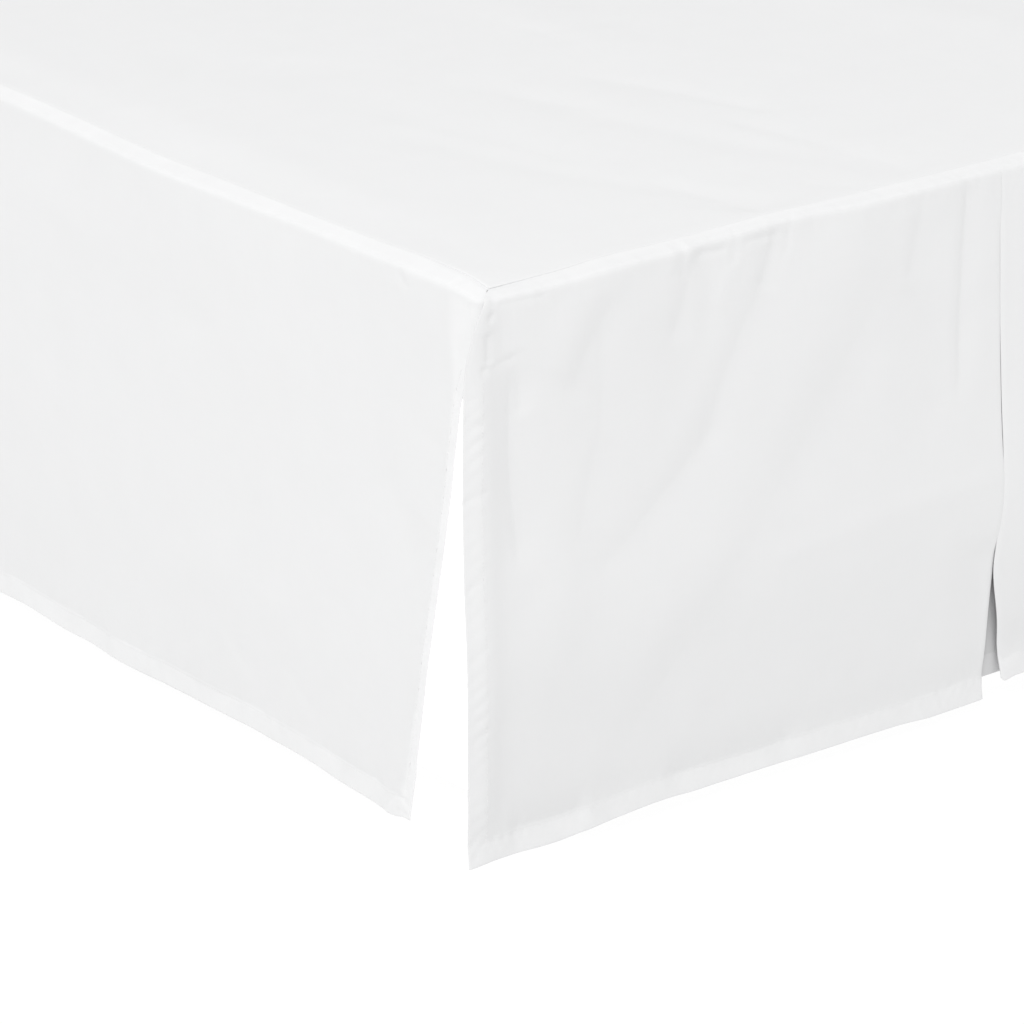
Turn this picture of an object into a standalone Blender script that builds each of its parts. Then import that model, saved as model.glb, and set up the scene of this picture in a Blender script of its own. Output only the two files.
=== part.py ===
"""Tailored bed skirt with split corners and centre pleats, over a plain upholstered bed base.

Units are metres and +Z is up. The floor is z = 0, the foot of the bed faces -Y, and the open
head end faces +Y. The skirt is a flat deck with six hanging panels sewn along its edge, and
one underlay behind each centre pleat. Every cloth is a closed solid of its real thickness.
"""

import math
from collections import namedtuple

import bmesh
import bpy
from mathutils import Vector

# The skirt's seam, which runs round the top of the bed
SEAM_WIDTH = 0.984
FOOT_SEAM_Y = -0.945
HEAD_SEAM_Y = 0.956
DECK_TOP = 0.4627
DROP = 0.4507                   # from the seam down to the hem
SEAM_GAP = 0.0003               # between the deck's edge and a panel's edge

# Cloth
CLOTH = 0.0015
HEM_CLOTH = 0.0022              # where the cloth is folded double and stitched
HEM_HEIGHT = 0.024
SIDE_HEM = 0.018
HEM_STEP = 0.002                # the slope from single to double cloth

# How far a panel stands out from its seam; its shoulder is a quarter circle of that radius
PANEL_OFFSET = 0.0135
UNDERLAY_SETBACK = 0.0030       # an underlay hangs this far behind its panels
UNDERLAY_TUCK = 0.0019          # and starts this far below them at the seam
LEAN = 0.005                    # how far the hem swings out beyond the shoulder
DECK_BORDER = 0.060             # the deck's wrinkles grow to their full height over this strip
TROUGH_LIMIT = 0.0007           # deepest trough at the top, which keeps off the underlay
SHOULDER_END = 0.030            # folds grow to their full height down to here
RISE_FADE = 3                   # the power by which a hem's rise fades up the cloth

# A side panel turns round the foot corner, behind the foot panel
CORNER_START = 0.025
CORNER_RADIUS = 0.0355

# Centre pleats
PLEAT_GAP = 0.0004              # half the gap between the two closed edges
UNDERLAY_HALF = 0.140
UNDERLAY_SHORTER = 0.017

# Bed base and legs
CLOTH_CLEARANCE = 0.00225       # base to cloth, where the skirt falls over the base's edges
BASE_CORNER = 0.032
BASE_BOTTOM = 0.050
BASE_TOP_ROUND = 0.020
BASE_BOTTOM_ROUND = 0.008
ROUND_STEPS = 5
LEG_RADIUS = 0.026
LEG_TOP_RADIUS = 0.032
LEG_INSET = 0.110
LEG_SIDES = 20
HEAD_PROUD = 0.004              # the base's head end stands this far past the deck
TOUCH_GAP = 0.0003              # between pieces that rest on each other

# Grids: cells along a cloth, and the height of a row of cells
DECK_COLUMNS = 20
DECK_ROWS = 30
DECK_GRADING = 1.25             # crowds the deck's rows towards the foot
FINE_ROW = 0.020
PLAIN_ROW = 0.040
UNDERLAY_ROW = 0.100
SHOULDER_STEPS = 4
SMOOTH_ANGLE = 50

SEAM_LENGTH = HEAD_SEAM_Y - FOOT_SEAM_Y
FOOT_PLEAT = SEAM_WIDTH / 2
SIDE_PLEAT = SEAM_LENGTH / 2

# A run of seam: its first corner, the way it runs, the way its cloth faces, and whether the
# cloth turns round the foot corner
Side = namedtuple("Side", "corner along out wraps")

LEFT_CORNER = Vector((-SEAM_WIDTH / 2, FOOT_SEAM_Y, 0))
RIGHT_CORNER = Vector((SEAM_WIDTH / 2, FOOT_SEAM_Y, 0))
FOOT = Side(LEFT_CORNER, Vector((1, 0, 0)), Vector((0, -1, 0)), False)
LEFT = Side(LEFT_CORNER, Vector((0, 1, 0)), Vector((-1, 0, 0)), True)
RIGHT = Side(RIGHT_CORNER, Vector((0, 1, 0)), Vector((1, 0, 0)), True)

# A soft ridge (height above 0) or trough: u runs along the seam, s down the cloth
Fold = namedtuple("Fold", "u0 s0 u1 s1 bow height width")
FOLD_FADE = 0.25                # a fold dies out past its ends over this share of its length

FOOT_LEFT_FOLDS = (
    Fold(-0.016, 0.026, -0.024, 0.389, 0.002, 0.0012, 0.015),
    Fold(0.016, 0.040, 0.013, 0.225, -0.003, -0.0012, 0.012),
    Fold(0.060, 0.060, 0.045, 0.286, 0.010, 0.0009, 0.028),
    Fold(0.099, 0.014, 0.058, 0.075, -0.006, 0.0011, 0.022),
    Fold(0.135, 0.055, 0.110, 0.208, 0.012, 0.0011, 0.028),
    Fold(0.228, 0.052, 0.148, 0.180, 0.004, 0.0009, 0.018),
    Fold(0.318, 0.069, 0.131, 0.321, 0.017, 0.0015, 0.042),
    Fold(0.351, 0.109, 0.127, 0.379, 0.005, -0.0006, 0.023),
    Fold(0.372, 0.070, 0.375, 0.204, -0.004, 0.0006, 0.019),
    Fold(0.396, 0.032, 0.391, 0.084, 0.000, 0.0007, 0.014),
    Fold(0.413, 0.052, 0.436, 0.185, 0.000, -0.0009, 0.025),
    Fold(0.447, 0.010, 0.440, 0.172, -0.003, 0.0005, 0.009),
    Fold(0.467, 0.012, 0.459, 0.200, -0.004, -0.0012, 0.018),
    Fold(0.283, 0.279, 0.475, 0.268, 0.003, 0.0006, 0.011),
    Fold(-0.032, 0.300, 0.512, 0.290, 0.010, 0.0022, 0.060),
    Fold(-0.030, 0.437, 0.510, 0.437, 0.000, -0.0020, 0.020),
)

FOOT_RIGHT_FOLDS = (
    Fold(0.560, 0.060, 0.600, 0.300, 0.010, 0.0016, 0.026),
    Fold(0.660, 0.040, 0.735, 0.260, 0.012, -0.0012, 0.020),
    Fold(0.700, 0.050, 0.800, 0.330, 0.012, 0.0018, 0.028),
    Fold(0.880, 0.045, 0.900, 0.250, 0.000, 0.0014, 0.022),
    Fold(0.480, 0.290, 1.020, 0.300, -0.008, 0.0022, 0.060),
    Fold(0.480, 0.430, 1.020, 0.435, 0.000, -0.0020, 0.020),
    Fold(1.006, 0.045, 1.004, 0.400, 0.000, 0.0012, 0.014),
)

LEFT_FOOT_FOLDS = (
    Fold(0.020, 0.130, 0.100, 0.470, 0.000, 0.0012, 0.036),
    Fold(0.053, 0.149, 0.067, 0.198, 0.000, 0.0005, 0.020),
    Fold(0.080, 0.010, 0.589, 0.090, -0.008, 0.0010, 0.045),
    Fold(0.226, 0.199, 0.251, 0.358, 0.000, 0.0006, 0.050),
    Fold(0.410, 0.234, 0.602, 0.270, -0.014, 0.0007, 0.040),
    Fold(0.565, 0.110, 0.590, 0.225, 0.000, -0.0008, 0.042),
    Fold(0.760, 0.080, 0.740, 0.360, 0.000, 0.0014, 0.035),
    Fold(0.058, 0.300, 0.900, 0.310, -0.020, 0.0020, 0.060),
    Fold(0.060, 0.437, 0.960, 0.437, 0.000, -0.0020, 0.020),
)

LEFT_HEAD_FOLDS = (
    Fold(1.080, 0.060, 1.110, 0.360, 0.010, 0.0014, 0.040),
    Fold(1.320, 0.080, 1.300, 0.340, 0.000, -0.0010, 0.035),
    Fold(1.560, 0.060, 1.600, 0.380, -0.010, 0.0016, 0.045),
    Fold(1.000, 0.300, 1.850, 0.310, 0.015, 0.0020, 0.060),
    Fold(0.960, 0.437, 1.900, 0.437, 0.000, -0.0020, 0.020),
)

RIGHT_FOOT_FOLDS = (
    Fold(0.140, 0.060, 0.180, 0.340, 0.010, 0.0016, 0.035),
    Fold(0.340, 0.080, 0.310, 0.380, 0.000, -0.0010, 0.035),
    Fold(0.520, 0.050, 0.560, 0.330, -0.010, 0.0016, 0.040),
    Fold(0.780, 0.070, 0.760, 0.360, 0.000, 0.0014, 0.035),
    Fold(0.058, 0.310, 0.900, 0.300, 0.015, 0.0020, 0.060),
    Fold(0.060, 0.437, 0.960, 0.437, 0.000, -0.0020, 0.020),
)

RIGHT_HEAD_FOLDS = (
    Fold(1.100, 0.070, 1.070, 0.360, 0.010, 0.0016, 0.040),
    Fold(1.400, 0.060, 1.430, 0.340, 0.000, -0.0010, 0.035),
    Fold(1.650, 0.080, 1.620, 0.380, -0.010, 0.0016, 0.045),
    Fold(1.000, 0.310, 1.850, 0.300, -0.015, 0.0020, 0.060),
    Fold(0.960, 0.437, 1.900, 0.437, 0.000, -0.0020, 0.020),
)

# How far a hem hangs above (or below) its even line: u runs along the seam
Rise = namedtuple("Rise", "u z")

FOOT_LEFT_RISE = (
    Rise(-0.040, 0.0003), Rise(0.036, -0.0010), Rise(0.106, 0.0030), Rise(0.146, 0.0048),
    Rise(0.186, 0.0028), Rise(0.226, 0.0033), Rise(0.266, 0.0013), Rise(0.306, 0.0023),
    Rise(0.386, 0.0012), Rise(0.406, -0.0006), Rise(0.492, -0.0012),
)
FOOT_RIGHT_RISE = (
    Rise(0.492, 0.0082), Rise(0.508, 0.0093), Rise(0.520, 0.0112), Rise(0.570, 0.0105),
    Rise(0.650, 0.0070), Rise(0.760, 0.0050), Rise(0.900, 0.0020), Rise(1.030, 0.0003),
)
LEFT_FOOT_RISE = (
    Rise(0.080, -0.0013), Rise(0.110, -0.0058), Rise(0.140, -0.0025), Rise(0.170, -0.0018),
    Rise(0.210, 0.0012), Rise(0.250, 0.0032), Rise(0.330, 0.0022), Rise(0.410, -0.0003),
    Rise(0.500, -0.0023), Rise(0.590, 0.0002), Rise(0.640, 0.0022), Rise(0.780, -0.0012),
    Rise(0.960, 0.0000),
)

# The deck's long low wrinkles, placed from the near foot corner: u across, s towards the head
DECK_FOLDS = (
    Fold(0.145, 0.660, 0.245, 0.520, 0.010, 0.0014, 0.034),
    Fold(0.195, 0.520, 0.210, 0.380, 0.000, 0.0012, 0.030),
    Fold(0.178, 0.320, 0.262, 0.045, 0.014, 0.0016, 0.028),
    Fold(0.298, 0.390, 0.385, 0.080, 0.014, 0.0016, 0.034),
    Fold(0.520, 0.820, 0.470, 0.450, 0.020, 0.0016, 0.042),
    Fold(0.700, 0.640, 0.760, 0.260, 0.020, 0.0018, 0.042),
    Fold(0.300, 1.400, 0.420, 1.060, 0.000, 0.0018, 0.048),
    Fold(0.690, 1.640, 0.600, 1.200, 0.020, 0.0018, 0.048),
)

# Where a panel's free or folded edge lies along its seam, from the seam (s = 0) to the hem
Edge = namedtuple("Edge", "s u")

FOOT_CORNER_EDGE = (
    Edge(0.000, 0.0012), Edge(0.012, -0.0122), Edge(0.023, -0.0210), Edge(0.072, -0.0354),
    Edge(0.161, -0.0389), Edge(0.319, -0.0401), Edge(0.460, -0.0392),
)
SIDE_CORNER_EDGE = (
    Edge(0.000, 0.0012), Edge(0.017, -0.0120), Edge(0.060, 0.0030), Edge(0.096, 0.0175),
    Edge(0.180, 0.0293), Edge(0.266, 0.0476), Edge(0.353, 0.0638), Edge(0.460, 0.0850),
)
PLEAT_EDGE_LEFT = (
    Edge(0.000, 0.0000), Edge(0.120, 0.0035), Edge(0.280, 0.0085), Edge(0.335, 0.0022),
    Edge(0.350, 0.0008), Edge(0.400, -0.0035), Edge(0.460, -0.0078),
)
PLEAT_EDGE_RIGHT = (
    Edge(0.000, 0.0000), Edge(0.120, 0.0035), Edge(0.280, 0.0085), Edge(0.335, 0.0022),
    Edge(0.350, 0.0008), Edge(0.400, 0.0068), Edge(0.460, 0.0128),
)
PLAIN_PLEAT_LEFT = (Edge(0.000, 0.0), Edge(0.330, 0.0), Edge(0.460, -0.0060))
PLAIN_PLEAT_RIGHT = (Edge(0.000, 0.0), Edge(0.330, 0.0), Edge(0.460, 0.0080))
STRAIGHT_EDGE = (Edge(0.000, 0.0), Edge(0.460, 0.0))

# One hanging panel: its two edges, how much of each edge is hemmed, its grid, its folds and
# its hem's rise
Panel = namedtuple("Panel", "name side start start_edge start_hem end end_edge end_hem "
                            "columns grading folds rise")


def eased(value):
    """0 below 0, 1 above 1, and a smooth step between."""
    value = min(max(value, 0.0), 1.0)
    return value * value * (3 - 2 * value)


def fold_height(folds, u, s):
    """Sum of all ridges and troughs at one point of the cloth."""
    total = 0.0
    for fold in folds:
        axis = Vector((fold.u1 - fold.u0, fold.s1 - fold.s0))
        length = axis.length
        axis /= length
        offset = Vector((u - fold.u0, s - fold.s0))
        run = offset.dot(axis) / length
        held = min(max(run, 0.0), 1.0)
        aside = offset.x * axis.y - offset.y * axis.x - fold.bow * 4 * held * (1 - held)
        fade = eased(1 + run / FOLD_FADE) * eased(1 + (1 - run) / FOLD_FADE)
        total += fold.height * fade * math.exp(-(aside / fold.width) ** 2)
    return total


def edge_at(edge, s):
    """The edge's place along the seam at depth s: a smooth curve that never overshoots its rows."""
    steps = [(after.u - before.u) / (after.s - before.s) for before, after in zip(edge, edge[1:])]
    slopes = [steps[0]]
    for before, after in zip(steps, steps[1:]):
        slopes.append(2 * before * after / (before + after) if before * after > 0 else 0.0)
    slopes.append(steps[-1])
    index = 0
    while index < len(edge) - 2 and s > edge[index + 1].s:
        index += 1
    first, second = edge[index], edge[index + 1]
    span = second.s - first.s
    t = (s - first.s) / span
    return ((2 * t**3 - 3 * t**2 + 1) * first.u + (t**3 - 2 * t**2 + t) * span * slopes[index]
            + (3 * t**2 - 2 * t**3) * second.u + (t**3 - t**2) * span * slopes[index + 1])


def plan_point(side, offset, u):
    """A point of the hanging cloth seen from above, and the way the cloth faces there."""
    turn = 0.0
    if side.wraps:
        turn = max(0.0, (CORNER_START - u) / CORNER_RADIUS)
    along = u if turn == 0.0 else CORNER_START - CORNER_RADIUS * math.sin(turn)
    out = offset - CORNER_RADIUS * (1 - math.cos(turn))
    facing = side.out * math.cos(turn) - side.along * math.sin(turn)
    return side.corner + side.along * along + side.out * out, facing


def hem_rise(rise, u):
    """The hem's height above its even line at u, between the rows' two ends."""
    if not rise:
        return 0.0
    held = min(max(u, rise[0].u), rise[-1].u)
    return edge_at(tuple(Edge(row.u, row.z) for row in rise), held)


def hanging_point(side, folds, u, s, offset, lean, seam_drop=0.0, rise=()):
    """The middle of a hanging cloth: over its shoulder from the seam, then down."""
    bend = min(s / offset, math.pi / 2)
    below = max(0.0, s - offset * math.pi / 2)
    hang, facing = plan_point(side, offset, u)
    seam = side.corner + side.along * (max(u, 0.0) if side.wraps else u) + side.out * SEAM_GAP
    point = seam.lerp(hang, math.sin(bend))
    swing = lean * below / DROP
    relief = max(fold_height(folds, u, s), -TROUGH_LIMIT - swing)
    point += facing * (eased(s / SHOULDER_END) * relief + swing)
    point.z = DECK_TOP - CLOTH / 2 - seam_drop - offset * (1 - math.cos(bend)) - below
    point.z += hem_rise(rise, u) * (below / DROP) ** RISE_FADE
    return point


def hanging_rows(offset, spacing, length):
    """Depths of a panel's rows, and whether each lies in the bottom hem."""
    arc = offset * math.pi / 2
    rows = [(arc * step / SHOULDER_STEPS, False) for step in range(SHOULDER_STEPS + 1)]
    hem_top = length - HEM_HEIGHT
    count = round((hem_top - HEM_STEP - arc) / spacing)
    for step in range(1, count + 1):
        rows.append((arc + (hem_top - HEM_STEP - arc) * step / count, False))
    rows.append((hem_top, True))
    rows.append((length, True))
    return rows


def hanging_columns(start, end, start_hem, end_hem, count, grading=1.0):
    """Places of a row's columns between its two edges, and whether each lies in a side hem.

    A grading above 1 crowds the columns towards the start, where a side panel turns the corner.
    """
    columns = [(start, start_hem > 0)]
    if start_hem:
        columns.append((start + start_hem / 2, True))
        columns.append((start + start_hem, True))
        start += start_hem + HEM_STEP
        columns.append((start, False))
    closing = [(end, end_hem > 0)]
    if end_hem:
        closing.insert(0, (end - end_hem, True))
        end -= end_hem + HEM_STEP
        closing.insert(0, (end, False))
    for step in range(1, count):
        columns.append((start + (end - start) * (step / count) ** grading, False))
    return columns + closing


def cloth_material(name, colour, roughness=0.85):
    """A plain cloth finish."""
    material = bpy.data.materials.new(name)
    material.use_nodes = True
    shader = material.node_tree.nodes["Principled BSDF"]
    shader.inputs["Base Color"].default_value = (*colour, 1)
    shader.inputs["Roughness"].default_value = roughness
    shader.inputs["Metallic"].default_value = 0.0
    return material


def add_object(name, mesh, material):
    """Link a finished mesh as one named object with one material."""
    bm = bmesh.new()
    bm.from_mesh(mesh)
    bmesh.ops.recalc_face_normals(bm, faces=bm.faces)
    bm.to_mesh(mesh)
    bm.free()
    mesh.shade_smooth()
    mesh.set_sharp_from_angle(angle=math.radians(SMOOTH_ANGLE))
    mesh.materials.append(material)
    body = bpy.data.objects.new(name, mesh)
    bpy.context.scene.collection.objects.link(body)
    return body


def cloth_solid(name, grid, place, material):
    """Close a grid of (u, s, thickness) samples into a solid sheet round its middle surface."""
    step = 0.0005
    front = []
    back = []
    for row in grid:
        front_row = []
        back_row = []
        for u, s, thickness in row:
            middle = place(u, s)
            across = place(u + step, s) - place(u - step, s)
            down = place(u, s + step) - place(u, max(s - step, 0.0))
            normal = across.cross(down).normalized()
            front_row.append(middle + normal * thickness / 2)
            back_row.append(middle - normal * thickness / 2)
        front.append(front_row)
        back.append(back_row)
    bm = bmesh.new()
    faces = [[[bm.verts.new(point) for point in row] for row in layer] for layer in (front, back)]
    last_row = len(grid) - 1
    last_column = len(grid[0]) - 1
    for layer in faces:
        for i in range(last_row):
            for j in range(last_column):
                bm.faces.new((layer[i][j], layer[i][j + 1], layer[i + 1][j + 1], layer[i + 1][j]))
    near, far = faces
    rim = [(i, 0) for i in range(last_row)]
    rim += [(last_row, j) for j in range(last_column)]
    rim += [(i, last_column) for i in range(last_row, 0, -1)]
    rim += [(0, j) for j in range(last_column, 0, -1)]
    for (i, j), (k, m) in zip(rim, rim[1:] + rim[:1]):
        bm.faces.new((near[i][j], near[k][m], far[k][m], far[i][j]))
    mesh = bpy.data.meshes.new(name)
    bm.to_mesh(mesh)
    bm.free()
    return add_object(name, mesh, material)


def panel_object(panel, material, spacing):
    """One hanging panel, hemmed along the bottom and along its free edges."""
    length = DROP + PANEL_OFFSET * (math.pi / 2 - 1)
    grid = []
    for s, in_hem in hanging_rows(PANEL_OFFSET, spacing, length):
        start = panel.start + edge_at(panel.start_edge, s)
        end = panel.end + edge_at(panel.end_edge, s)
        columns = hanging_columns(start, end, panel.start_hem, panel.end_hem, panel.columns,
                                  panel.grading)
        grid.append([(u, s, HEM_CLOTH if in_hem or in_side else CLOTH) for u, in_side in columns])

    def place(u, s):
        return hanging_point(panel.side, panel.folds, u, s, PANEL_OFFSET, LEAN, rise=panel.rise)

    return cloth_solid(panel.name, grid, place, material)


def underlay_object(name, side, centre, material):
    """The plain cloth that closes a centre pleat from behind."""
    offset = PANEL_OFFSET - UNDERLAY_SETBACK
    length = DROP - UNDERLAY_SHORTER + offset * (math.pi / 2 - 1)
    grid = []
    for s, in_hem in hanging_rows(offset, UNDERLAY_ROW, length):
        columns = hanging_columns(centre - UNDERLAY_HALF, centre + UNDERLAY_HALF, 0, 0, 4)
        grid.append([(u, s, HEM_CLOTH if in_hem else CLOTH) for u, _ in columns])

    def place(u, s):
        return hanging_point(side, (), u, s, offset, 0.0, UNDERLAY_TUCK)

    return cloth_solid(name, grid, place, material)


def deck_object(material):
    """The flat cloth that lies on the base under the mattress, with low wrinkles."""
    columns = hanging_columns(0, SEAM_WIDTH, 0, 0, DECK_COLUMNS)
    rows = hanging_columns(0, SEAM_LENGTH, 0, HEM_HEIGHT, DECK_ROWS, DECK_GRADING)
    grid = [[(u, s, HEM_CLOTH if in_hem else CLOTH) for u, _ in columns] for s, in_hem in rows]

    def place(u, s):
        inside = min(u, SEAM_WIDTH - u, s, SEAM_LENGTH - s)
        lift = eased(inside / DECK_BORDER) * max(fold_height(DECK_FOLDS, u, s), 0.0)
        thick = HEM_CLOTH / 2 if s > SEAM_LENGTH - HEM_HEIGHT - HEM_STEP / 2 else CLOTH / 2
        bottom = DECK_TOP - CLOTH
        return Vector((u - SEAM_WIDTH / 2, FOOT_SEAM_Y + s, bottom + thick + lift))

    return cloth_solid("deck", grid, place, material)


def rounded_ring(bm, half_width, front, back, radius, z, steps=6):
    """A loop of vertices: a rectangle with round corners at height z."""
    ring = []
    centres = ((half_width - radius, back - radius, 0), (-half_width + radius, back - radius, 90),
               (-half_width + radius, front + radius, 180), (half_width - radius, front + radius, 270))
    for x, y, first in centres:
        for step in range(steps + 1):
            angle = math.radians(first + 90 * step / steps)
            ring.append(bm.verts.new((x + radius * math.cos(angle), y + radius * math.sin(angle), z)))
    return ring


def base_object(material):
    """The upholstered box under the skirt, with its corners and its top edge rounded."""
    proud = PANEL_OFFSET - UNDERLAY_SETBACK - CLOTH / 2 - CLOTH_CLEARANCE
    side = SEAM_WIDTH / 2 + proud
    foot = FOOT_SEAM_Y - proud
    head = HEAD_SEAM_Y + HEAD_PROUD
    top = DECK_TOP - CLOTH - TOUCH_GAP
    levels = []
    for step in range(ROUND_STEPS + 1):
        angle = math.radians(90 * step / ROUND_STEPS)
        levels.append((BASE_BOTTOM_ROUND * (1 - math.sin(angle)),
                       BASE_BOTTOM + BASE_BOTTOM_ROUND * (1 - math.cos(angle))))
    for step in range(ROUND_STEPS + 1):
        angle = math.radians(90 * step / ROUND_STEPS)
        levels.append((BASE_TOP_ROUND * (1 - math.cos(angle)),
                       top - BASE_TOP_ROUND * (1 - math.sin(angle))))
    bm = bmesh.new()
    rings = [rounded_ring(bm, side - inset, foot + inset, head - inset, BASE_CORNER - inset, z)
             for inset, z in levels]
    for lower, upper in zip(rings, rings[1:]):
        for index in range(len(lower)):
            after = (index + 1) % len(lower)
            bm.faces.new((lower[index], lower[after], upper[after], upper[index]))
    bm.faces.new(reversed(rings[0]))
    bm.faces.new(rings[-1])
    mesh = bpy.data.meshes.new("base")
    bm.to_mesh(mesh)
    bm.free()
    return add_object("base", mesh, material)


def leg_object(name, x, y, material):
    """A short round leg, a little wider at the top, standing flat on the floor."""
    height = BASE_BOTTOM - TOUCH_GAP
    bm = bmesh.new()
    bmesh.ops.create_cone(bm, cap_ends=True, segments=LEG_SIDES, radius1=LEG_RADIUS,
                          radius2=LEG_TOP_RADIUS, depth=height)
    mesh = bpy.data.meshes.new(name)
    bm.to_mesh(mesh)
    bm.free()
    leg = add_object(name, mesh, material)
    leg.location = (x, y, height / 2)
    return leg


def clear_scene():
    """Start from nothing."""
    for old in list(bpy.data.objects):
        bpy.data.objects.remove(old, do_unlink=True)


def main():
    """Build the base, its legs, the deck, the panels and the pleat underlays."""
    clear_scene()
    skirt = cloth_material("skirt_cotton", (0.86, 0.86, 0.86))
    lining = cloth_material("underlay_cotton", (0.66, 0.66, 0.66))
    cover = cloth_material("base_cover", (0.90, 0.90, 0.89))
    wood = cloth_material("leg_wood", (0.32, 0.20, 0.11), 0.45)

    base_object(cover)
    leg_x = SEAM_WIDTH / 2 - LEG_INSET
    legs = (("leg_foot_left", -leg_x, FOOT_SEAM_Y + LEG_INSET),
            ("leg_foot_right", leg_x, FOOT_SEAM_Y + LEG_INSET),
            ("leg_head_left", -leg_x, HEAD_SEAM_Y - LEG_INSET),
            ("leg_head_right", leg_x, HEAD_SEAM_Y - LEG_INSET))
    for name, x, y in legs:
        leg_object(name, x, y, wood)

    deck_object(skirt)
    far_corner_edge = tuple(Edge(row.s, -row.u) for row in FOOT_CORNER_EDGE)
    panels = (
        Panel("panel_foot_left", FOOT, 0.0, FOOT_CORNER_EDGE, SIDE_HEM,
              FOOT_PLEAT - PLEAT_GAP, PLEAT_EDGE_LEFT, 0, 24, 1.0, FOOT_LEFT_FOLDS,
              FOOT_LEFT_RISE),
        Panel("panel_foot_right", FOOT, FOOT_PLEAT + PLEAT_GAP, PLEAT_EDGE_RIGHT, 0,
              SEAM_WIDTH, far_corner_edge, SIDE_HEM, 16, 1.0, FOOT_RIGHT_FOLDS,
              FOOT_RIGHT_RISE),
        Panel("panel_left_foot", LEFT, 0.0, SIDE_CORNER_EDGE, SIDE_HEM,
              SIDE_PLEAT - PLEAT_GAP, PLAIN_PLEAT_LEFT, 0, 24, 1.6, LEFT_FOOT_FOLDS,
              LEFT_FOOT_RISE),
        Panel("panel_left_head", LEFT, SIDE_PLEAT + PLEAT_GAP, PLAIN_PLEAT_RIGHT, 0,
              SEAM_LENGTH, STRAIGHT_EDGE, SIDE_HEM, 14, 1.0, LEFT_HEAD_FOLDS, ()),
        Panel("panel_right_foot", RIGHT, 0.0, SIDE_CORNER_EDGE, SIDE_HEM,
              SIDE_PLEAT - PLEAT_GAP, PLAIN_PLEAT_LEFT, 0, 22, 1.6, RIGHT_FOOT_FOLDS, ()),
        Panel("panel_right_head", RIGHT, SIDE_PLEAT + PLEAT_GAP, PLAIN_PLEAT_RIGHT, 0,
              SEAM_LENGTH, STRAIGHT_EDGE, SIDE_HEM, 14, 1.0, RIGHT_HEAD_FOLDS, ()),
    )
    for panel in panels:
        panel_object(panel, skirt, FINE_ROW if panel.side is FOOT else PLAIN_ROW)

    underlay_object("pleat_foot", FOOT, FOOT_PLEAT, lining)
    underlay_object("pleat_left", LEFT, SIDE_PLEAT, lining)
    underlay_object("pleat_right", RIGHT, SIDE_PLEAT, lining)


main()
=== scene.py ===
import math

import bpy
import numpy as np
from mathutils import Matrix, Vector


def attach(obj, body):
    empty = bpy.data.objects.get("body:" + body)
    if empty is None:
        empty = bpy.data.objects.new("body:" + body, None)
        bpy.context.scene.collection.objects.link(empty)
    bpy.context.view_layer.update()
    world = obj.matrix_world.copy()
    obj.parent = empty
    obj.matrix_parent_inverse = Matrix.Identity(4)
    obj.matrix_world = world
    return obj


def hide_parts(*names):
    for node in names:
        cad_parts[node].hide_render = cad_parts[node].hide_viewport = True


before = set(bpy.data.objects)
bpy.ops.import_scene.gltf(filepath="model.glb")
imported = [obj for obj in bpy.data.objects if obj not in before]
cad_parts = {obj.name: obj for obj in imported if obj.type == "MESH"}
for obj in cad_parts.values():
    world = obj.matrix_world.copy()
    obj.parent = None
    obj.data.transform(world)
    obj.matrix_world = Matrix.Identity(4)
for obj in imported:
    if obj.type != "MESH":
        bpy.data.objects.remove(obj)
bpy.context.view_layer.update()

# a plain white bed skirt with split corners and centre pleats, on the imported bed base
print("frame loaded")


# cloth sizes, in metres: u runs along a seam from the foot corner, s runs down the cloth
skirt = {
    "width": 0.984,           # seam to seam
    "footSeam": -0.945,       # where the foot seam lies in y
    "length": 1.901,
    "deckTop": 0.4627,
    "drop": 0.4507,
    "seamGap": 0.00004,
    "cornerGap": 0.00006,     # how much wider the seam opens at the foot corners
    "shoulder": 0.0135,       # how far a panel stands out from its seam
    "turnRadius": 0.0026,     # radius of the turn at the shoulder's outer edge
    "shoulderEnd": 0.03,      # folds reach full height here
    "lean": 0.005,            # swing of the hem beyond the shoulder
    "troughLimit": 0.0018,    # troughs this deep clear the underlay behind a pleat
    "moreRoom": 0.0012,       # and can be this much deeper away from it
    "pleatReach": 0.15,
    "face": 0.00075,          # outer face, from the cloth's middle
    "cloth": 0.0009,
    "hemRise": 0.00035,       # a hem stands this far proud
    "hemExtra": 0.0005,       # and is this much thicker
    "rounding": 0.0004,       # width of an edge's rounding
    "hem": 0.019,
    "sideShare": 0.5,         # side hems stand half as proud
    "sideHem": 0.018,
    "narrowHem": 0.01,        # the side panels' hem at the corner splits
    "stitchInset": 0.0018,    # stitch line, from the inner edge of the hem
    "cornerStart": 0.003,     # a side panel turns round the foot corner from here
    "cornerRadius": 0.015,
    "seamDepth": 0.0003,      # the seam's groove, on a panel
    "seamWidth": 0.0008,
    "cornerDepth": 0.001,     # and how much deeper it is at the foot corners
    "cornerReach": 0.07,
    "deckDepth": 0.0004,      # the deck's edge is drawn down into the seam
    "deckWidth": 0.0009,
    "pleatLap": 0.0003,       # how far each edge of a closed pleat reaches past the pleat's line
    "seamReach": 0.03,        # the seam's waves fade over this strip
    "foldFade": 0.25,         # folds die out past their ends over this share of their length
    "shortFade": 0.003,       # and never in less than this
    "detailFade": 0.003,      # fine details start this far below the seam
    "evenFrom": 0.02,         # the shoulder's waves die out from here down,
    "evenOver": 0.12,        # over this much
    "normalStep": 0.0004,     # normals are measured over this distance
    "edgeShare": 0.36,        # how much of the cloth's thickness an edge's rounding takes
    "stitchSink": 0.00026,    # stitches lie this far below a hem's face
    "stitchStep": 0.002,      # spacing of the points of a line of stitches
}

clothLength = skirt["drop"] + skirt["shoulder"] * (math.pi / 2 - 1)
footPleat = skirt["width"] / 2
sidePleat = skirt["length"] / 2

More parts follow.
